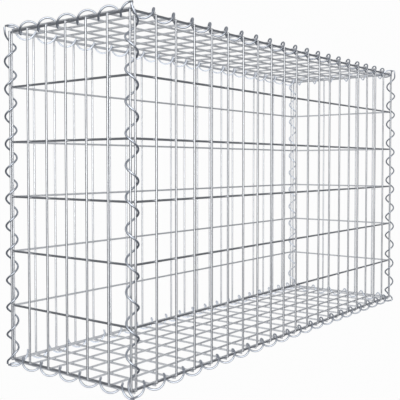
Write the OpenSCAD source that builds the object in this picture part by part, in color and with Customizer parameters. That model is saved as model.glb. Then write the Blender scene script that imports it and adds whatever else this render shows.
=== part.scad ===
// Empty gabion basket of welded wire mesh: six flat mesh panels, laced together
// along all twelve edges by spirals of wire. The stones would go inside.
// Frame: origin under the middle of the basket on the ground, +X along its length,
// front towards -Y, +Z up.

/* [Basket] */
// Length of the front, back, lid and base panels between their outermost cross wires
basket_l = 1000; // [400:50:2000]
// Depth of the basket between the level wires of the front and of the back
basket_w = 300; // [200:50:1000]
// Height of a side between its lowest and its highest level wire
basket_h = 600; // [200:100:1200]

/* [Mesh] */
// Spacing of the upright wires, and of the wires both ways in the lid and the base
mesh_pitch = 50; // [40:5:100]
// Spacing of the level wires up a side
row_pitch = 100; // [50:10:200]
// Diameter of the panel wire
wire_d = 4; // [3:0.5:6]
// Depth to which two crossing wires are pressed together at a weld
weld_sink = 0.3; // [0.2:0.05:0.6]
// Length of a wire past the middle of the last wire that it crosses
wire_over = 1.2; // [1:0.1:1.6]
// Room between the wires of one panel and those of the next
panel_gap = 0.3; // [0.2:0.1:0.8]

/* [Spirals] */
// Diameter of the spiral wire
spiral_wire_d = 3.5; // [2.5:0.5:5]
// Room across the inside of a spiral beyond the two edge wires that it holds
spiral_play = 8.5; // [7:0.5:14]
// Room between a spiral and the edge wire that it lies against
seat_gap = 0.6; // [0.4:0.1:0.9]
// Angle by which the ends of a level spiral lean outwards from upright
spiral_lean = 28; // [10:1:40]
// The same angle on the two top spirals along the length
top_lean = 19; // [10:1:40]
// Straight run of a top spiral along the length before its first bend
start_run = 1.2; // [1:0.1:5]
// Straight run of an upright spiral below its first bend
foot_run = 4.3; // [1:0.1:6]
// Room between the straight runs of two spirals where they meet at a corner
run_gap = 0.3; // [0.2:0.1:0.8]

/* [Hidden] */

panel_colour = "silver";
spiral_colour = "gray";

// Whole cells along each edge, each as near to its pitch as the length allows
cells_l = round(basket_l / mesh_pitch);
cells_w = round(basket_w / mesh_pitch);
rows = round(basket_h / row_pitch);
cell_l = basket_l / cells_l;
cell_w = basket_w / cells_w;
row_h = basket_h / rows;

// A wire is an eight-sided bar with the section area of the round wire
wire_sides = 8;
wire_r = wire_d / 2;
wire_corner_r = corner_radius(wire_r, wire_sides);

// Distance between the two layers of wire in a panel, and between two wires side by side
layer_step = wire_d - weld_sink;
wire_step = wire_d + panel_gap;

// Lines of the panels: level wires of the ends, then the lid's two layers above the highest
// level wire of the sides, then the lid's edge wires between the front and the back
end_x = basket_l / 2 + wire_over + panel_gap + wire_r;
lid_cross_rise = wire_step;
lid_long_rise = lid_cross_rise - layer_step;
lid_edge_y = basket_w / 2 - wire_step;

// A spiral is a five-sided bar carried round in ten straight steps to the turn
spiral_sides = 5;
spiral_steps = 10;
spiral_wire_r = spiral_wire_d / 2;
spiral_corner_r = corner_radius(spiral_wire_r, spiral_sides);
spiral_bore_r = wire_d + spiral_play / 2;
spiral_r = spiral_bore_r + spiral_wire_r;
spiral_ring_r = corner_radius(spiral_r, spiral_steps);

// Distance from a spiral's axis to the edge wire that it lies against
seat_reach = spiral_bore_r - wire_r - seat_gap;

// Axes of the spirals along the length: level with the lid's long wires, outside its edge wire
long_axis_y = lid_edge_y + seat_reach;
long_axis_rise = lid_long_rise;

// Axes of the spirals across the ends: halfway in height between the lid's cross wires and the
// top wire of the end, outside the lid's last cross wire
cross_axis_rise = lid_cross_rise / 2;
cross_axis_x = basket_l / 2 + sqrt(pow(seat_reach, 2) - pow(lid_cross_rise - cross_axis_rise, 2));

// Axes of the upright spirals: on the line from the last upright of the front to that of the end
corner_run = [end_x + layer_step - basket_l / 2, -layer_step];
corner_axis = [basket_l / 2, basket_w / 2 + layer_step] + seat_reach * corner_run / norm(corner_run);

// Straight runs of the spirals past the edges of the basket. At a corner the run from the end
// lies outermost, the run from the length stops beside it and the upright run stops under it.
cross_run_x = cross_axis_x + spiral_ring_r * sin(spiral_lean);
cross_run_rise = cross_axis_rise + spiral_ring_r * cos(spiral_lean);
long_run = cross_run_x - spiral_corner_r - run_gap - basket_l / 2;
upright_run = cross_run_rise - spiral_corner_r - run_gap;
cross_run = corner_axis.y + spiral_ring_r * sin(45) - basket_w / 2;

// Moves along their edges: a top spiral to the corner where it starts, an upright one downwards
top_shift = long_run - start_run;
corner_drop = upright_run - foot_run;

// Turns of a spiral: one to each cell, and whole turns to each row up a corner
turns_l = cells_l;
turns_w = cells_w;
turns_h = rows * round(row_h / mesh_pitch);

// Left hand turns against the right-hand rule along the spiral's axis
left_hand = -1;
right_hand = 1;

// Start angles are measured from the upright direction, which is a quarter turn from +Y
up_from_y = 90;
half_turn = 180;

// Lead of a wire that runs straight along its edge
straight_lead = 90;

// The basket stands on the lowest loops, under the two ends
stand_h = cross_axis_rise - min([
    for (p = spiral_points(turns_w, cell_w, right_hand, half_turn + spiral_lean, cross_run, 0)) p.x
]);
top_z = stand_h + basket_h;

// Corner radius of a polygon with the area of a circle
function corner_radius(r, sides) = r * sqrt(2 * PI / (sides * sin(360 / sides)));

// Middles of a row of wires, either side of zero
function spread(count, step) = [for (i = [0 : count]) (i - count / 2) * step];

// The same row with its two outermost wires moved to a given distance
function spread_to(count, step, edge) =
    [for (i = [0 : count]) i == 0 ? -edge : i == count ? edge : (i - count / 2) * step];

// Stations along a spiral round +Z, as turn so far, height, lead and mitre. The wire runs in
// straight, bends, goes round in whole turns that are moved up by shift, bends and runs out.
function spiral_stations(turns, pitch, run, shift) =
    let (
        lead = atan2(pitch, 2 * PI * spiral_r),
        bend = (lead + straight_lead) / 2,
        last = turns * spiral_steps
    )
    concat(
        [[0, -run, straight_lead, 1]],
        [
            for (i = [0 : last])
                let (bent = i == 0 || i == last)
                [
                    i / spiral_steps, shift + pitch * i / spiral_steps,
                    bent ? bend : lead, bent ? 1 / sin(bend) : 1
                ]
        ],
        [[turns, turns * pitch + run, straight_lead, 1]]
    );

// Corners of a spiral round +Z that starts at an angle from +X: rings square to the wire
function spiral_points(turns, pitch, hand, start, run, shift) =
    [
        for (station = spiral_stations(turns, pitch, run, shift))
            let (
                a = start + hand * 360 * station[0],
                lead = station[2],
                out = [cos(a), sin(a), 0],
                along = [-sin(a), cos(a), 0],
                side = station[3] * (sin(lead) * along - hand * cos(lead) * [0, 0, 1]),
                middle = spiral_ring_r * out + [0, 0, station[1]]
            )
            for (j = [0 : spiral_sides - 1])
                let (q = 360 * j / spiral_sides)
                middle + spiral_corner_r * (cos(q) * out + sin(q) * side)
    ];

// Walls between neighbouring rings, each split along its ridge, and the two cut ends
function spiral_faces(turns, hand) =
    let (last = turns * spiral_steps + 2, n = spiral_sides)
    concat(
        [[for (j = [0 : n - 1]) j]],
        [[for (j = [0 : n - 1]) last * n + n - 1 - j]],
        [
            for (i = [0 : last - 1], j = [0 : n - 1])
                let (a = i * n + j, b = i * n + (j + 1) % n, c = b + n, d = a + n)
                for (face = hand == left_hand ? [[a, d, c], [a, c, b]] : [[a, d, b], [d, c, b]])
                    face
        ]
    );

// One straight wire along Z, flat sides square to X and Y
module wire(length) {
    rotate([0, 0, 180 / wire_sides])
        cylinder(r = wire_corner_r, h = length, center = true, $fn = wire_sides);
}

// Flat mesh facing +Z: an outer layer of wires along Y at each x, an inner one along X at each y
module mesh(xs, ys, half_x, half_y) {
    union() {
        for (x = xs)
            translate([x, 0, 0]) rotate([90, 0, 0]) wire(2 * half_y);
        for (y = ys)
            translate([0, y, -layer_step]) rotate([0, 90, 0]) wire(2 * half_x);
    }
}

// Mesh of a long side, facing -Y
module long_side() {
    translate([0, -basket_w / 2 - layer_step, stand_h + basket_h / 2])
        rotate([90, 0, 0])
            mesh(
                spread(cells_l, cell_l), spread(rows, row_h),
                basket_l / 2 + wire_over, basket_h / 2 + wire_over
            );
}

// Mesh of an end, facing -X
module end_side() {
    translate([-end_x - layer_step, 0, stand_h + basket_h / 2])
        rotate([90, 0, -90])
            mesh(
                spread(cells_w, cell_w), spread(rows, row_h),
                basket_w / 2 + wire_over, basket_h / 2 + wire_over
            );
}

// Mesh of the lid or the base, facing +Z
module flat_side() {
    mesh(
        spread(cells_l, cell_l), spread_to(cells_w, cell_w, lid_edge_y),
        basket_l / 2 + wire_over, basket_w / 2 + wire_over
    );
}

// Spiral round +Z from the origin
module spiral(turns, pitch, hand, start, run, shift) {
    polyhedron(spiral_points(turns, pitch, hand, start, run, shift), spiral_faces(turns, hand));
}

// Spiral along the length at a given y and height, its start angle measured from +Y towards +Z
module long_spiral(y, z, start, shift) {
    translate([-basket_l / 2, y, z])
        rotate([90, 0, 90]) spiral(turns_l, cell_l, left_hand, start, long_run, shift);
}

// Spiral across an end at a given x and height, its start angle measured from +Z towards +X
module cross_spiral(x, z, hand, start) {
    translate([x, -basket_w / 2, z])
        rotate([-90, -90, 0]) spiral(turns_w, cell_w, hand, start, cross_run, 0);
}

// Upright spiral at the corner that lies towards the signs of x and y, its ends on the diagonal
module corner_spiral(x_sign, y_sign) {
    translate([x_sign * corner_axis.x, y_sign * corner_axis.y, stand_h])
        spiral(
            turns_h, basket_h / turns_h, -x_sign * y_sign, atan2(y_sign, x_sign),
            upright_run, -corner_drop
        );
}

module front_panel() { color(panel_colour) long_side(); }
module back_panel() { color(panel_colour) rotate([0, 0, 180]) long_side(); }
module left_end_panel() { color(panel_colour) end_side(); }
module right_end_panel() { color(panel_colour) rotate([0, 0, 180]) end_side(); }
module lid_panel() { color(panel_colour) translate([0, 0, top_z + lid_cross_rise]) flat_side(); }
module base_panel() {
    color(panel_colour) translate([0, 0, stand_h - lid_cross_rise]) rotate([180, 0, 0]) flat_side();
}

module top_front_spiral() {
    color(spiral_colour)
        long_spiral(-long_axis_y, top_z + long_axis_rise, up_from_y + top_lean, -top_shift);
}
module top_back_spiral() {
    color(spiral_colour)
        long_spiral(long_axis_y, top_z + long_axis_rise, up_from_y - top_lean, top_shift);
}
module bottom_front_spiral() {
    color(spiral_colour)
        long_spiral(-long_axis_y, stand_h - long_axis_rise, half_turn + up_from_y - spiral_lean, 0);
}
module bottom_back_spiral() {
    color(spiral_colour)
        long_spiral(long_axis_y, stand_h - long_axis_rise, half_turn + up_from_y + spiral_lean, 0);
}
module top_left_spiral() {
    color(spiral_colour) cross_spiral(-cross_axis_x, top_z + cross_axis_rise, left_hand, -spiral_lean);
}
module top_right_spiral() {
    color(spiral_colour) cross_spiral(cross_axis_x, top_z + cross_axis_rise, left_hand, spiral_lean);
}
module bottom_left_spiral() {
    color(spiral_colour)
        cross_spiral(-cross_axis_x, stand_h - cross_axis_rise, right_hand, half_turn + spiral_lean);
}
module bottom_right_spiral() {
    color(spiral_colour)
        cross_spiral(cross_axis_x, stand_h - cross_axis_rise, right_hand, half_turn - spiral_lean);
}
module front_left_spiral() { color(spiral_colour) corner_spiral(-1, -1); }
module front_right_spiral() { color(spiral_colour) corner_spiral(1, -1); }
module back_left_spiral() { color(spiral_colour) corner_spiral(-1, 1); }
module back_right_spiral() { color(spiral_colour) corner_spiral(1, 1); }

front_panel();
back_panel();
left_end_panel();
right_end_panel();
base_panel();
lid_panel();
top_front_spiral();
top_back_spiral();
bottom_front_spiral();
bottom_back_spiral();
top_left_spiral();
top_right_spiral();
bottom_left_spiral();
bottom_right_spiral();
front_left_spiral();
front_right_spiral();
back_left_spiral();
back_right_spiral();
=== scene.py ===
# %% [markdown]
# # An empty gabion basket, wire by wire
#
# A gabion basket is a box of welded wire mesh that is filled with stones and becomes one bay of a
# wall. This lesson dresses the empty basket: six flat mesh panels, and twelve spirals of wire that
# lace them together along every edge. The frame gives the true place and size of each piece. We
# build round, welded, zinc coated wire around it.

# %% Load the frame
import math
import bpy
import numpy as np
from mathutils import Matrix, Vector


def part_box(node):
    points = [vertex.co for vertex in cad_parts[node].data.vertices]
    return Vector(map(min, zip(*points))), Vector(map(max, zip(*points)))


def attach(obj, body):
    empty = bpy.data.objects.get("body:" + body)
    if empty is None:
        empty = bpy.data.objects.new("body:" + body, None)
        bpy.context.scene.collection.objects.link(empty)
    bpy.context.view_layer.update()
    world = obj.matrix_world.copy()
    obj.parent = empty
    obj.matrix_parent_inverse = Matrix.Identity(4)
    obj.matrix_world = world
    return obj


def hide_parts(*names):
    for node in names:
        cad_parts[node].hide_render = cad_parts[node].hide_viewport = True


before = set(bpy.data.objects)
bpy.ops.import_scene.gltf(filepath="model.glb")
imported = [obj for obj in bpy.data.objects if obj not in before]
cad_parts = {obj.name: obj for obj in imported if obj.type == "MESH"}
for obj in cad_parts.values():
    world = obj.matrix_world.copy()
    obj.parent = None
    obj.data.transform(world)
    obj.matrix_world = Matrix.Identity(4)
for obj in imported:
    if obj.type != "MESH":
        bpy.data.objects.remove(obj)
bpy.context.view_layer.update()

# %% [markdown]
# ## The camera
#
# The camera stands a little off one corner, just over half as high as the basket, and looks very
# slightly downwards. It could be aimed by eye with a Track To constraint, but its pose was fitted
# to the crossings of the mesh, so we build its matrix from a heading and a tilt. A small vertical
# shift frames the picture as a crop would.

# %% Place the camera
CAMERA_PLACE = Vector((-1.3090, -0.9108, 0.3735))
CAMERA_HEADING = math.radians(52.15)
CAMERA_TILT = math.radians(-2.01)
FOCAL_PIXELS = 702.4
PICTURE_PIXELS = 400
SENSOR_WIDTH = 36.0
CENTRE_DROP_PIXELS = 10.9


def aimed(place, facing):
    """The matrix of a camera or a lamp at a place, which looks along facing with its top upwards."""
    return Matrix.Translation(place) @ facing.to_track_quat("-Z", "Y").to_matrix().to_4x4()


forward = Vector((
    math.sin(CAMERA_HEADING) * math.cos(CAMERA_TILT),
    math.cos(CAMERA_HEADING) * math.cos(CAMERA_TILT),
    math.sin(CAMERA_TILT),
))
camera = bpy.data.objects.new("camera", bpy.data.cameras.new("camera"))
bpy.context.scene.collection.objects.link(camera)
camera.data.sensor_width = SENSOR_WIDTH
camera.data.lens = FOCAL_PIXELS / PICTURE_PIXELS * SENSOR_WIDTH
camera.data.shift_y = -CENTRE_DROP_PIXELS / PICTURE_PIXELS
camera.matrix_world = aimed(CAMERA_PLACE, forward)
bpy.context.scene.camera = camera
print("camera: lens", round(camera.data.lens, 2), "mm, shift", round(camera.data.shift_y, 4))

# %% [markdown]
# ## Sizes of the real basket
#
# Everything follows from a few trade sizes: the basket, its mesh and its wire. They are the sizes of
# the frame, in metres. We work out the lines on which the wires lie from them once, and every
# surface below is built around those lines.

# %% Name the sizes
BASKET_L = 1.0
BASKET_W = 0.3
BASKET_H = 0.6
MESH_PITCH = 0.05
ROW_PITCH = 0.1
WIRE_R = 0.002
WELD_SINK = 0.0003  # how far a weld presses one wire into the other
WIRE_OVER = 0.0012  # how far a wire runs past the last one that it crosses
PANEL_GAP = 0.0003  # between the wires of two panels that meet
COIL_WIRE_R = 0.00175
COIL_R = 0.010  # from a spiral's axis to the middle of its wire

layer_step = 2 * WIRE_R - WELD_SINK
wire_step = 2 * WIRE_R + PANEL_GAP
end_x = BASKET_L / 2 + WIRE_OVER + PANEL_GAP + WIRE_R
lid_edge_y = BASKET_W / 2 - wire_step
wire_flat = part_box("front_panel")[1].x - BASKET_L / 2
foot_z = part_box("front_panel")[0].z + wire_flat
head_z = foot_z + BASKET_H
mid_z = (foot_z + head_z) / 2
print("lowest and highest level wire:", round(foot_z, 5), round(head_z, 5))

# %% [markdown]
# ## From arrays to meshes
#
# A wire is a round profile carried along a line, so its points form a grid: one ring of points after
# another. We never loop over points. numpy works out the whole grid, and index arithmetic gives the
# four corners of every face. Each surface also carries two attributes for the materials: where a
# point would lie if its wire were pulled straight, and how much a weld or a cut has marked it.

# %% Turn grids of rings into one mesh
def grid_faces(rings, sides, first):
    """Quads between neighbouring rings of a tube whose points start at index first, facing outwards."""
    ring, side = np.meshgrid(np.arange(rings - 1), np.arange(sides), indexing="ij")
    here = first + ring * sides + side
    beside = first + ring * sides + (side + 1) % sides
    return np.stack([here, beside, beside + sides, here + sides], -1).reshape(-1, 4)


def tube_block(points, straight, mark):
    """A stack of tubes, shaped (tube, ring, side, 3), as faces and flat arrays for one mesh."""
    tubes, rings, sides, _ = points.shape
    firsts = np.arange(tubes) * rings * sides
    walls = np.concatenate([grid_faces(rings, sides, first) for first in firsts])
    around = np.arange(sides)
    starts = firsts[:, None] + around[::-1]
    stops = firsts[:, None] + (rings - 1) * sides + around
    return {
        "points": points.reshape(-1, 3),
        "straight": straight.reshape(-1, 3),
        "mark": mark.reshape(-1),
        "walls": walls,
        "caps": np.concatenate([starts, stops]),
    }


def build_piece(node, blocks, material):
    """One object from several blocks: walls are smooth, cut ends are flat, and it rides on the basket."""
    offsets = np.cumsum([0] + [len(block["points"]) for block in blocks])
    walls = [(block["walls"] + shift).tolist() for block, shift in zip(blocks, offsets)]
    caps = [(block["caps"] + shift).tolist() for block, shift in zip(blocks, offsets)]
    wall_faces = [face for group in walls for face in group]
    cap_faces = [face for group in caps for face in group]
    name = node.replace("panel", "mesh").replace("spiral", "coil")
    mesh = bpy.data.meshes.new(name)
    mesh.from_pydata(np.concatenate([b["points"] for b in blocks]), [], wall_faces + cap_faces)
    smooth = np.arange(len(mesh.polygons)) < len(wall_faces)
    mesh.polygons.foreach_set("use_smooth", smooth)
    straight = mesh.attributes.new("wire_straight", "FLOAT_VECTOR", "POINT")
    straight.data.foreach_set("vector", np.concatenate([b["straight"] for b in blocks]).ravel())
    mark = mesh.attributes.new("wire_mark", "FLOAT", "POINT")
    mark.data.foreach_set("value", np.concatenate([b["mark"] for b in blocks]))
    mesh.materials.append(material)
    mesh.update()
    piece = bpy.data.objects.new(name, mesh)
    bpy.context.scene.collection.objects.link(piece)
    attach(piece, "root")
    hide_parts(node)
    low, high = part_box(node)
    own = np.array([corner[:] for corner in piece.bound_box])
    off = 1000 * max(np.abs(own.min(0) - low).max(), np.abs(own.max(0) - high).max())
    print(f"{name}: {len(mesh.polygons)} faces, box within {off:.2f} mm of the frame's")
    return piece


# %% [markdown]
# ## Zinc coated wire
#
# Both kinds of wire are drawn steel with a zinc coat. Close up the coat is a little blotchy, it
# carries fine lines along the wire from the drawing die, and a weld or a cut leaves a dull grey
# scar. A plain metal with one colour would look like chrome. We put the coat in one node group that
# both materials use with their own values. It reads the pulled-straight position, so the drawing
# lines follow each wire round its bends.

# %% Make the coat as a node group
BLOTCH_SCALE = 260.0
BLOTCH_DETAIL = 4.0
LINE_SCALE = 1500.0
LINE_DETAIL = 2.0
LINE_STRETCH = 0.02


def new_group(name, inputs, outputs):
    """An empty shader group with named input and output sockets."""
    group = bpy.data.node_groups.new(name, "ShaderNodeTree")
    for socket, kind in inputs:
        group.interface.new_socket(socket, in_out="INPUT", socket_type=kind)
    for socket, kind in outputs:
        group.interface.new_socket(socket, in_out="OUTPUT", socket_type=kind)
    return group, group.nodes.new("NodeGroupInput"), group.nodes.new("NodeGroupOutput")


def noise_at(tree, vector, scale, detail):
    """A noise texture in a tree at a given scale."""
    node = tree.nodes.new("ShaderNodeTexNoise")
    node.inputs["Scale"].default_value = scale
    node.inputs["Detail"].default_value = detail
    tree.links.new(vector, node.inputs["Vector"])
    return node.outputs["Fac"]


def ranged(tree, value, low, high):
    """A value from 0 to 1 spread between two others."""
    node = tree.nodes.new("ShaderNodeMapRange")
    tree.links.new(value, node.inputs["Value"])
    tree.links.new(low, node.inputs["To Min"])
    tree.links.new(high, node.inputs["To Max"])
    return node.outputs["Result"]


def mixed(tree, factor, first, second):
    """A colour between two others."""
    node = tree.nodes.new("ShaderNodeMix")
    node.data_type = "RGBA"
    tree.links.new(factor, node.inputs["Factor"])
    tree.links.new(first, node.inputs["A"])
    tree.links.new(second, node.inputs["B"])
    return node.outputs["Result"]


coat, coat_in, coat_out = new_group(
    "zinc_coat",
    [
        ("Bright", "NodeSocketColor"), ("Dull", "NodeSocketColor"), ("Scar", "NodeSocketColor"),
        ("Smooth", "NodeSocketFloat"), ("Rough", "NodeSocketFloat"),
    ],
    [("Colour", "NodeSocketColor"), ("Roughness", "NodeSocketFloat"), ("Height", "NodeSocketFloat")],
)
straight_wire = coat.nodes.new("ShaderNodeAttribute")
straight_wire.attribute_name = "wire_straight"
scar_mark = coat.nodes.new("ShaderNodeAttribute")
scar_mark.attribute_name = "wire_mark"
drawn_out = coat.nodes.new("ShaderNodeMapping")
drawn_out.inputs["Scale"].default_value = (1.0, 1.0, LINE_STRETCH)
coat.links.new(straight_wire.outputs["Vector"], drawn_out.inputs["Vector"])
blotches = noise_at(coat, straight_wire.outputs["Vector"], BLOTCH_SCALE, BLOTCH_DETAIL)
lines = noise_at(coat, drawn_out.outputs["Vector"], LINE_SCALE, LINE_DETAIL)
clean = mixed(coat, blotches, coat_in.outputs["Bright"], coat_in.outputs["Dull"])
scarred = mixed(coat, scar_mark.outputs["Fac"], clean, coat_in.outputs["Scar"])
roughness = ranged(coat, blotches, coat_in.outputs["Smooth"], coat_in.outputs["Rough"])
coat.links.new(scarred, coat_out.inputs["Colour"])
coat.links.new(roughness, coat_out.inputs["Roughness"])
coat.links.new(lines, coat_out.inputs["Height"])
print("zinc coat:", len(coat.nodes), "nodes")

# %% [markdown]
# ## The two finishes
#
# The panel wire has a thick, pale coat with a faint blue cast. The spirals are harder spring wire
# with a thinner, darker and shinier coat. Both are metals, so their colour is all in what they
# reflect, and a fine bump from the drawing lines keeps the highlights from looking like glass.

# %% Make the two wire finishes
LINE_DEPTH = 0.00002


def wire_finish(name, bright, dull, scar, smooth, rough, bump):
    """A metal with the zinc coat in the given colours and roughness."""
    material = bpy.data.materials.new(name)
    material.use_nodes = True
    tree = material.node_tree
    shader = tree.nodes["Principled BSDF"]
    shader.inputs["Metallic"].default_value = 1.0
    group = tree.nodes.new("ShaderNodeGroup")
    group.node_tree = coat
    for socket, colour in (("Bright", bright), ("Dull", dull), ("Scar", scar)):
        group.inputs[socket].default_value = (*colour, 1.0)
    group.inputs["Smooth"].default_value = smooth
    group.inputs["Rough"].default_value = rough
    grooves = tree.nodes.new("ShaderNodeBump")
    grooves.inputs["Strength"].default_value = bump
    grooves.inputs["Distance"].default_value = LINE_DEPTH
    tree.links.new(group.outputs["Height"], grooves.inputs["Height"])
    tree.links.new(group.outputs["Colour"], shader.inputs["Base Color"])
    tree.links.new(group.outputs["Roughness"], shader.inputs["Roughness"])
    tree.links.new(grooves.outputs["Normal"], shader.inputs["Normal"])
    return material


panel_wire = wire_finish(
    "panel_wire",
    bright=(0.722, 0.736, 0.757), dull=(0.561, 0.574, 0.592), scar=(0.57, 0.58, 0.60),
    smooth=0.22, rough=0.42, bump=0.35,
)
spiral_wire = wire_finish(
    "spiral_wire",
    bright=(0.600, 0.634, 0.696), dull=(0.433, 0.462, 0.511), scar=(0.34, 0.34, 0.35),
    smooth=0.22, rough=0.40, bump=0.30,
)
print("finishes:", panel_wire.name, spiral_wire.name)

# %% [markdown]
# ## Straight wires
#
# A panel has two layers of straight wire. Each wire could be a stretched cylinder, but a welded wire
# isn't one: it swells a little where the electrodes squeezed it, and its ends are sheared with a
# small broken edge. So its radius is a function of the distance along it, and the rings lie close
# together only where that function changes.

# %% Carry a ring along straight wires
X_AXIS, Y_AXIS, Z_AXIS = np.eye(3)
WIRE_SIDES = 14
END_BREAK = 0.0004
SWELL = 0.035  # as a share of the wire's radius
SWELL_LENGTH = 0.0022
WELD_SCAR = 0.75  # how far the coat is marked, from 0 to 1
SCAR_LENGTH = 0.0030
WELD_STEPS = np.array([-0.006, -0.003, -0.0015, 0.0, 0.0015, 0.003, 0.006])
WIRE_APART = 3.7  # sets the wires apart in the coat's pattern, so that no two look alike


def round_angles(sides):
    """Even angles once round a ring."""
    return np.arange(sides) * 2 * math.pi / sides


def straight_wires(starts, direction, length, crossings, across):
    """Wires of one layer: start + s * direction + r(s) * (cos q * across + sin q * lift).

    r(s) is the wire's radius, a little more at each crossing and less at the two broken ends.
    """
    starts = np.asarray(starts, float)
    lift = np.cross(direction, across)
    near = (np.asarray(crossings)[:, None] + WELD_STEPS).ravel()
    near = near[(near > 2 * END_BREAK) & (near < length - 2 * END_BREAK)]
    s = np.unique(np.round(np.concatenate([[0, END_BREAK, length - END_BREAK, length], near]), 6))
    nearest = np.abs(s[:, None] - crossings).min(1)
    radius = WIRE_R * (1 + SWELL * np.exp(-(nearest / SWELL_LENGTH) ** 2))
    at_end = np.minimum(s, length - s) < END_BREAK / 2
    radius = np.where(at_end, WIRE_R - END_BREAK, radius)
    q = round_angles(WIRE_SIDES)
    ring = np.cos(q)[:, None] * across + np.sin(q)[:, None] * lift
    line = starts[:, None, :] + s[None, :, None] * np.asarray(direction, float)
    points = line[:, :, None, :] + radius[None, :, None, None] * ring
    flat_ring = np.stack([np.cos(q), np.sin(q), 0 * q], -1)
    pulled = radius[:, None, None] * flat_ring + s[:, None, None] * Z_AXIS
    apart = np.arange(len(starts))[:, None, None, None] * WIRE_APART * Z_AXIS
    scar = np.maximum(WELD_SCAR * np.exp(-(nearest / SCAR_LENGTH) ** 2), at_end)
    mark = np.broadcast_to(scar[None, :, None], points.shape[:3])
    return tube_block(points, pulled[None] + apart, mark)


# %% [markdown]
# ## Welds
#
# Where two wires cross they are pressed together while hot, and a little steel is squeezed out
# around the spot. It shows as a small bead between the wires. A boolean fillet would be slow on
# hundreds of crossings, so each bead is a flat lens: a closed tube of a few rings.

# %% Make the weld beads
BEAD_R = 0.0021
BEAD_H = 0.0009
BEAD_SIDES = 10
BEAD_RINGS = 6
BEAD_SPAN = 0.47 * math.pi  # a little short of the poles, where a flat cap closes it
BEAD_SCAR = 0.8


def weld_beads(centres, normal, across):
    """Lens at each crossing: centre + h * sin v * normal + R * cos v * (cos q * across + sin q * lift)."""
    centres = np.asarray(centres, float)
    lift = np.cross(normal, across)
    v = np.linspace(-BEAD_SPAN, BEAD_SPAN, BEAD_RINGS)
    q = round_angles(BEAD_SIDES)
    ring = np.cos(q)[:, None] * across + np.sin(q)[:, None] * lift
    lens = BEAD_H * np.sin(v)[:, None, None] * np.asarray(normal, float)
    lens = lens + BEAD_R * np.cos(v)[:, None, None] * ring
    points = centres[:, None, None, :] + lens
    mark = np.full(points.shape[:3], BEAD_SCAR)
    return tube_block(points, points, mark)


# %% [markdown]
# ## The six panels
#
# A panel is an outer layer of wires one way and an inner layer the other way. On the sides the
# uprights are outermost, and on the lid and the base the cross wires are. They could be modelled one
# by one or mirrored, but one function makes any panel from its middle and its two directions, so all
# six are built alike and none is turned inside out.

# %% Build the panels
def panel(name, middle, outer_dir, inner_dir, outer_places, inner_places, outer_length):
    """Outer wires at middle + place * inner_dir, and inner wires one layer step further in.

    The outer wires have the given length, the inner ones reach across them all, and each runs on a
    little at both ends. A weld lies halfway between the layers at every crossing.
    """
    facing = np.cross(inner_dir, outer_dir)
    inner_middle = middle - layer_step * facing
    outer_half = outer_length / 2 + WIRE_OVER
    inner_half = (outer_places[-1] - outer_places[0]) / 2 + WIRE_OVER
    outer_starts = middle + np.outer(outer_places, inner_dir) - outer_half * outer_dir
    inner_starts = inner_middle + np.outer(inner_places, outer_dir) - inner_half * inner_dir
    across, along_outer = np.meshgrid(outer_places, inner_places, indexing="ij")
    welds = middle - layer_step / 2 * facing
    welds = welds + across.reshape(-1, 1) * inner_dir + along_outer.reshape(-1, 1) * outer_dir
    blocks = [
        straight_wires(outer_starts, outer_dir, 2 * outer_half, inner_places + outer_half, inner_dir),
        straight_wires(inner_starts, inner_dir, 2 * inner_half, outer_places + inner_half, outer_dir),
        weld_beads(welds, facing, inner_dir),
    ]
    return build_piece(name, blocks, panel_wire)


def row(length, pitch):
    """Places of a row of wires, either side of the middle."""
    cells = round(length / pitch)
    return np.linspace(-length / 2, length / 2, cells + 1)


columns = row(BASKET_L, MESH_PITCH)
depths = row(BASKET_W, MESH_PITCH)
levels = row(BASKET_H, ROW_PITCH)
lid_depths = np.concatenate([[-lid_edge_y], depths[1:-1], [lid_edge_y]])
side_y = BASKET_W / 2 + layer_step
side_x = end_x + layer_step
lid_z = head_z + wire_step
base_z = foot_z - wire_step
panel("front_panel", np.array([0, -side_y, mid_z]), Z_AXIS, X_AXIS, columns, levels, BASKET_H)
panel("back_panel", np.array([0, side_y, mid_z]), Z_AXIS, -X_AXIS, columns, levels, BASKET_H)
panel("left_end_panel", np.array([-side_x, 0, mid_z]), Z_AXIS, -Y_AXIS, depths, levels, BASKET_H)
panel("right_end_panel", np.array([side_x, 0, mid_z]), Z_AXIS, Y_AXIS, depths, levels, BASKET_H)
panel("lid_panel", np.array([0, 0, lid_z]), Y_AXIS, X_AXIS, columns, lid_depths, BASKET_W)
panel("base_panel", np.array([0, 0, base_z]), Y_AXIS, -X_AXIS, columns, lid_depths, BASKET_W)

# %% [markdown]
# ## The spirals
#
# Each edge is laced with a spiral that is screwed in from one end. It makes one turn to a mesh pitch,
# and at the corners it runs on straight until three spirals meet in a point. A Screw modifier could
# wind it, but not the runs. So the whole wire lies on one cylinder about the edge, and its angle is
# a function of the distance along the edge: still on the runs, one turn to a pitch between them, and
# a parabola where the wire bends from one to the other. The bend is short, but at the heads of the
# corner spirals the wire was pulled towards the point, so there it straightens out slowly. At their
# feet the lowest half turn was pulled in against the edge wires, so there the cylinder narrows.

# %% Wind the spirals
BEND_LENGTH = 0.006
HEAD_BEND_LENGTH = 0.030
FOOT_PULL = 0.34  # as a share of the cylinder's radius
STEPS_PER_TURN = 30
COIL_SIDES = 12
COIL_BREAK = 0.0004


def eased(distance, bend):
    """Zero before the bend, the distance itself after it, and a parabola across the bend."""
    x = np.clip(distance, -bend / 2, bend / 2)
    return (x + bend / 2) ** 2 / (2 * bend) + np.maximum(distance - bend / 2, 0)


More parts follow.
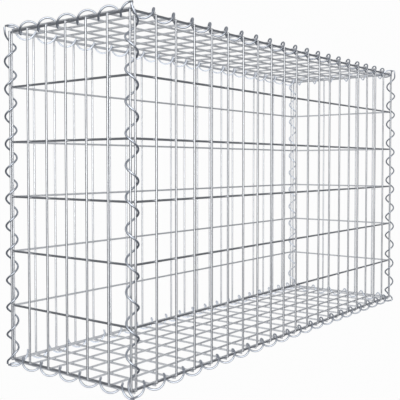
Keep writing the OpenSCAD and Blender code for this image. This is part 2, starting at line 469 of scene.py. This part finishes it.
def spiral(
    name, start, axis, zero_dir, hand, angle, length, run, shift,
    foot_bend=BEND_LENGTH, head_bend=BEND_LENGTH, foot_pull=0.0,
):
    """A wire about an axis: start + h * axis + R(h) * (cos a * zero_dir + sin a * next_dir).

    Its angle a(h) turns once to a pitch between h = shift and h = shift + length, eased at both ends
    over a bend that is over before the wire ends. Its radius R(h) is less by a sine squared over the
    first half turn where the foot is pulled in.
    """
    next_dir = np.cross(axis, zero_dir)
    pitch = length / round(length / MESH_PITCH)
    count = round((length + 2 * run) / pitch * STEPS_PER_TURN)
    h = np.linspace(-run, length + run, count + 1)
    h = np.insert(h, [1, count], [-run + COIL_BREAK, length + run - COIL_BREAK])
    rate = hand * 2 * math.pi / pitch
    first_bend = min(foot_bend, 2 * (run + shift))
    last_bend = min(head_bend, 2 * (run - shift))
    a = angle + rate * (eased(h - shift, first_bend) - eased(h - shift - length, last_bend))
    half_turn = np.clip((h - shift) / (pitch / 2), 0, 1)
    reach = COIL_R * (1 - foot_pull * np.sin(math.pi * half_turn) ** 2)
    out = np.cos(a)[:, None] * zero_dir + np.sin(a)[:, None] * next_dir
    line = np.asarray(start) + h[:, None] * axis + reach[:, None] * out
    along = np.gradient(line, h, axis=0)
    along = along / np.linalg.norm(along, axis=1)[:, None]
    side = np.cross(along, out)
    side = side / np.linalg.norm(side, axis=1)[:, None]
    at_end = (h < -run + COIL_BREAK / 2) | (h > length + run - COIL_BREAK / 2)
    radius = np.where(at_end, COIL_WIRE_R - COIL_BREAK, COIL_WIRE_R)
    q = round_angles(COIL_SIDES)
    up = np.cross(side, along)
    ring = np.cos(q)[None, :, None] * up[:, None, :] + np.sin(q)[None, :, None] * side[:, None, :]
    points = line[:, None, :] + radius[:, None, None] * ring
    steps = np.linalg.norm(np.diff(line, axis=0, prepend=line[:1]), axis=1)
    flat_ring = np.stack([np.cos(q), np.sin(q), 0 * q], -1)
    pulled = COIL_WIRE_R * flat_ring + np.cumsum(steps)[:, None, None] * Z_AXIS
    mark = np.broadcast_to(at_end[:, None] * 1.0, points.shape[:2])
    block = tube_block(points[None], pulled[None], mark[None])
    return build_piece(name, [block], spiral_wire)


# %% [markdown]
# The axes of the spirals follow from what they hold: each lies against one edge wire with a small
# gap. The runs at the corners end where the frame's own spirals end, so we read them from its boxes.

# %% Place the twelve spirals
SEAT_GAP = 0.0006  # between a spiral and the edge wire that it lies against
COIL_LEAN = math.radians(28)  # how far round from straight above or below its axis a run lies
TOP_LEAN = math.radians(19)  # the same on the two long top spirals
START_RUN = 0.0012  # the shorter run of a long top spiral
FOOT_RUN = 0.0043  # the run at the foot of a corner spiral
LEFT_HAND, RIGHT_HAND = -1, 1

seat_reach = COIL_R - COIL_WIRE_R - WIRE_R - SEAT_GAP
long_axis_y = lid_edge_y + seat_reach
long_rise = wire_step - layer_step
cross_rise = wire_step / 2
cross_axis_x = BASKET_L / 2 + math.sqrt(seat_reach ** 2 - cross_rise ** 2)
corner_run = np.array([side_x - BASKET_L / 2, -layer_step])
corner_axis = np.array([BASKET_L / 2, side_y]) + seat_reach * corner_run / np.linalg.norm(corner_run)
long_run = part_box("top_front_spiral")[1].x - BASKET_L / 2
cross_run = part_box("top_left_spiral")[1].y - BASKET_W / 2
upright_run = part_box("front_left_spiral")[1].z - head_z
top_shift = long_run - START_RUN
corner_drop = upright_run - FOOT_RUN

for name, y_sign, z, angle, shift in (
    ("top_front_spiral", -1, head_z + long_rise, math.pi / 2 + TOP_LEAN, -top_shift),
    ("top_back_spiral", 1, head_z + long_rise, math.pi / 2 - TOP_LEAN, top_shift),
    ("bottom_front_spiral", -1, foot_z - long_rise, 1.5 * math.pi - COIL_LEAN, 0.0),
    ("bottom_back_spiral", 1, foot_z - long_rise, 1.5 * math.pi + COIL_LEAN, 0.0),
):
    start = (-BASKET_L / 2, y_sign * long_axis_y, z)
    spiral(name, start, X_AXIS, Y_AXIS, LEFT_HAND, angle, BASKET_L, long_run, shift)

for name, x_sign, z, hand, angle in (
    ("top_left_spiral", -1, head_z + cross_rise, LEFT_HAND, -COIL_LEAN),
    ("top_right_spiral", 1, head_z + cross_rise, LEFT_HAND, COIL_LEAN),
    ("bottom_left_spiral", -1, foot_z - cross_rise, RIGHT_HAND, math.pi + COIL_LEAN),
    ("bottom_right_spiral", 1, foot_z - cross_rise, RIGHT_HAND, math.pi - COIL_LEAN),
):
    start = (x_sign * cross_axis_x, -BASKET_W / 2, z)
    spiral(name, start, Y_AXIS, Z_AXIS, hand, angle, BASKET_W, cross_run, 0.0)

for name, x_sign, y_sign in (
    ("front_left_spiral", -1, -1), ("front_right_spiral", 1, -1),
    ("back_left_spiral", -1, 1), ("back_right_spiral", 1, 1),
):
    start = (x_sign * corner_axis[0], y_sign * corner_axis[1], foot_z)
    hand = LEFT_HAND if x_sign == y_sign else RIGHT_HAND
    angle = math.atan2(y_sign, x_sign)
    spiral(
        name, start, Z_AXIS, X_AXIS, hand, angle, BASKET_H, upright_run, -corner_drop,
        foot_bend=2 * FOOT_RUN, head_bend=HEAD_BEND_LENGTH, foot_pull=FOOT_PULL,
    )

# %% [markdown]
# ## Floor and light
#
# The basket stands on a plain pale floor in a studio. A lit floor would grow darker away from the
# lamps, so this one glows evenly instead. It is left out of the reflections, as it would only wash
# them out.

# %% Make the floor
FLOOR_SIZE = 30.0
FLOOR_TONE = 0.98

floor_mesh = bpy.data.meshes.new("floor")
corners = np.array([(-1, -1, 0), (1, -1, 0), (1, 1, 0), (-1, 1, 0)]) * FLOOR_SIZE / 2
floor_mesh.from_pydata(corners, [], [(0, 1, 2, 3)])
floor = bpy.data.objects.new("floor", floor_mesh)
bpy.context.scene.collection.objects.link(floor)
floor_paint = bpy.data.materials.new("pale_floor")
floor_paint.use_nodes = True
floor_paint.node_tree.nodes.clear()
glow = floor_paint.node_tree.nodes.new("ShaderNodeEmission")
glow.inputs["Color"].default_value = (FLOOR_TONE, FLOOR_TONE, FLOOR_TONE, 1.0)
floor_out = floor_paint.node_tree.nodes.new("ShaderNodeOutputMaterial")
floor_paint.node_tree.links.new(glow.outputs["Emission"], floor_out.inputs["Surface"])
floor_mesh.materials.append(floor_paint)
floor.visible_glossy = False
floor.visible_diffuse = False
floor.visible_shadow = False
print("floor:", FLOOR_SIZE, "m across")

# %% [markdown]
# Bare metal shows nothing but its surroundings, so the studio's walls matter more than any lamp. Pale
# walls would turn the wire white. Dull ones leave its sides and the level wires grey, and the soft
# lights below then put a pale stripe down the middle of each upright. We paint the walls into the
# world for reflections only. What the camera itself sees behind the basket is as pale as the floor.

# %% Paint the studio into the world
WALL_TONE = (0.180, 0.186, 0.200)

world = bpy.data.worlds.new("studio")
bpy.context.scene.world = world
world.use_nodes = True
studio = world.node_tree
studio.nodes.clear()
walls = studio.nodes.new("ShaderNodeBackground")
walls.inputs["Color"].default_value = (*WALL_TONE, 1.0)
backdrop = studio.nodes.new("ShaderNodeBackground")
backdrop.inputs["Color"].default_value = (FLOOR_TONE, FLOOR_TONE, FLOOR_TONE, 1.0)
seen = studio.nodes.new("ShaderNodeLightPath")
choice = studio.nodes.new("ShaderNodeMixShader")
studio_out = studio.nodes.new("ShaderNodeOutputWorld")
studio.links.new(seen.outputs["Is Camera Ray"], choice.inputs["Fac"])
studio.links.new(walls.outputs["Background"], choice.inputs[1])
studio.links.new(backdrop.outputs["Background"], choice.inputs[2])
studio.links.new(choice.outputs["Shader"], studio_out.inputs["Surface"])
bpy.context.scene.view_settings.view_transform = "Standard"
print("studio walls at", WALL_TONE)

# %% [markdown]
# A large soft light stands behind the camera, and a weaker one stands opposite for the views from
# behind. The uprights grow darker towards the floor, so a dimmer sheet takes over below the soft
# light. A faint sheet on the floor lights only the near loops that the basket stands on. All of them
# are lamps that the camera can't see.

# %% Hang the soft lights
SOFT_LIGHT_SIZE = (2.4, 2.75)
SOFT_LIGHT_REACH = 2.5
SOFT_LIGHT_FOOT = -0.05
SOFT_LIGHT_TONE = 2.3
BACK_LIGHT_TONE = 0.6
LOW_LIGHT_TONE = 1.3
LOW_LIGHT_HEIGHT = 0.75
FLOOR_SHEET_SIZE = (1.16, 0.44)
FLOOR_SHEET_TONE = 0.12
LOW_COILS = ("bottom_front_coil", "bottom_left_coil")


def soft_sheet(name, place, facing, width, height, tone):
    """A rectangle of even light with the given tone, which faces one way and hides from the camera."""
    lamp = bpy.data.lights.new(name, "AREA")
    lamp.shape = "RECTANGLE"
    lamp.size = width
    lamp.size_y = height
    lamp.energy = tone * math.pi * width * height
    sheet = bpy.data.objects.new(name, lamp)
    bpy.context.scene.collection.objects.link(sheet)
    sheet.matrix_world = aimed(place, facing)
    sheet.visible_camera = False
    return sheet


def light_only(group, pieces, sheets):
    """Link sheets of light to a collection of pieces, so that nothing else receives their light."""
    lit = bpy.data.collections.new(group)
    for name in pieces:
        lit.objects.link(bpy.data.objects[name])
    for sheet in sheets:
        sheet.light_linking.receiver_collection = lit


across_floor = SOFT_LIGHT_REACH * Vector((CAMERA_PLACE.x, CAMERA_PLACE.y, 0.0)).normalized()
for name, side, tone in (("soft_light", 1, SOFT_LIGHT_TONE), ("back_light", -1, BACK_LIGHT_TONE)):
    place = side * across_floor + Vector((0, 0, SOFT_LIGHT_FOOT + SOFT_LIGHT_SIZE[1] / 2))
    soft_sheet(name, place, -side * across_floor, *SOFT_LIGHT_SIZE, tone)
low_place = across_floor + Vector((0, 0, SOFT_LIGHT_FOOT - LOW_LIGHT_HEIGHT / 2))
soft_sheet("low_light", low_place, -across_floor, SOFT_LIGHT_SIZE[0], LOW_LIGHT_HEIGHT, LOW_LIGHT_TONE)
upwards = Vector(Z_AXIS)
floor_sheet = soft_sheet("floor_sheet", 0 * upwards, upwards, *FLOOR_SHEET_SIZE, FLOOR_SHEET_TONE)
light_only("floor_lit_coils", LOW_COILS, [floor_sheet])
print("soft lights:", SOFT_LIGHT_TONE, BACK_LIGHT_TONE, LOW_LIGHT_TONE, FLOOR_SHEET_TONE)

# %% [markdown]
# In the picture the panels that are seen from inside are much paler than the two that are seen from
# outside, all round each wire. A studio gets this with a fill light that is kept off the near side.
# So we close the basket in with a box of six faint sheets, and link it to the far pieces. The near
# spirals get a fainter fill that starts above the basket, as the sides of their loops that look down
# are dark. Behind the basket every fill is weaker, so that it keeps its contrast from there too.

# %% Fill the far side and the spirals
FILL_REACH = 3.0
FILL_BEHIND = 0.4
fill_foot = mid_z - FILL_REACH
fill_head = mid_z + FILL_REACH
FILL_GROUPS = {
    "far_panels": (0.60, fill_foot, ("back_mesh", "right_end_mesh", "lid_mesh")),
    "base_panel": (0.68, fill_foot, ("base_mesh",)),
    "far_coils": (1.15, fill_foot, (
        "top_back_coil", "bottom_back_coil", "top_right_coil", "bottom_right_coil", "back_right_coil",
    )),
    "low_coils": (0.30, fill_foot, LOW_COILS),
    "top_coils": (0.25, head_z, ("top_front_coil", "top_left_coil")),
    "near_corner": (0.60, head_z, ("front_left_coil",)),
    "side_corners": (0.30, head_z, ("back_left_coil", "front_right_coil")),
}


def fill(group, tone, lowest, pieces):
    """A box of faint sheets round the basket, weaker behind it, whose light only these pieces receive.

    Its sides start at the lowest height given, and it has a bottom only where they start at its foot.
    """
    sheets = []
    for outward in (Vector(side * axis) for axis in (X_AXIS, Y_AXIS, Z_AXIS) for side in (-1, 1)):
        if outward.z < 0 and lowest > fill_foot:
            continue
        shade = FILL_BEHIND if outward.dot(across_floor) < 0 else 1.0
        start = lowest if outward.z == 0 else fill_foot
        place = FILL_REACH * outward + Vector((0, 0, mid_z + (start - fill_foot) / 2))
        size = (2 * FILL_REACH, fill_head - start)
        sheets.append(soft_sheet(f"fill_{group}", place, -outward, *size, shade * tone))
    light_only(group, pieces, sheets)


for group, (tone, lowest, pieces) in FILL_GROUPS.items():
    fill(group, tone, lowest, pieces)
    print(f"fill {group}: tone {tone} from z = {lowest:.3f} m, on {len(pieces)} pieces")
